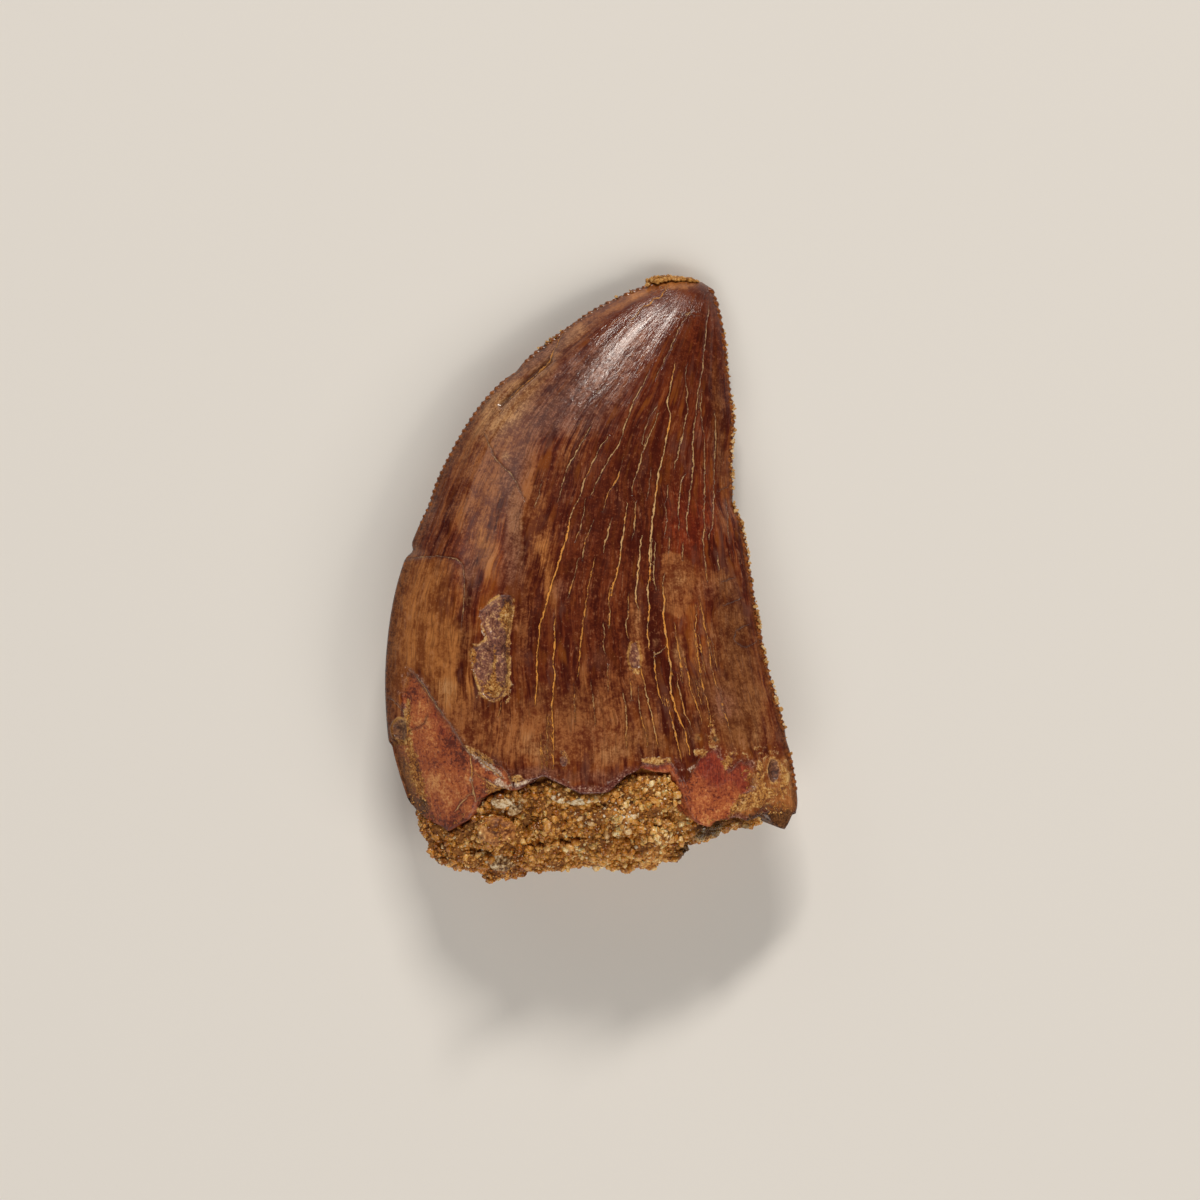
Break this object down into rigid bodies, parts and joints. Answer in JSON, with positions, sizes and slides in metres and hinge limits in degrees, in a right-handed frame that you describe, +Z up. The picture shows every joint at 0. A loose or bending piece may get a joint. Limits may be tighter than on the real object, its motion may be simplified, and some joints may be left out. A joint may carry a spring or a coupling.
{
  "type": "carcharodontosaurus tooth",
  "caption": "Fossil tooth crown of a large meat-eating dinosaur, a flat curved blade with saw edges, with hardened sand filling its broken base; it lies on its side.",
  "frame": {"origin": "centre of the bounding box in plan, on the surface that the tooth lies on", "axes": "+Y towards the tip along the crown, +X towards the nearly straight rear cutting edge, +Z up out of the side that shows"},
  "size_m": [0.0262, 0.0379, 0.0096],
  "materials": {
    "enamel": "glossy fossil enamel, red-brown to tan with pale sediment in its cracks; matt brick-red dentine at the base",
    "sandstone": "matt ochre sand cemented into a lump, with loose clear and white quartz grains"
  },
  "bodies": {
    "root": {"tooth_crown": "enamel", "sandstone_plug": "sandstone"}
  },
  "joints": []
}
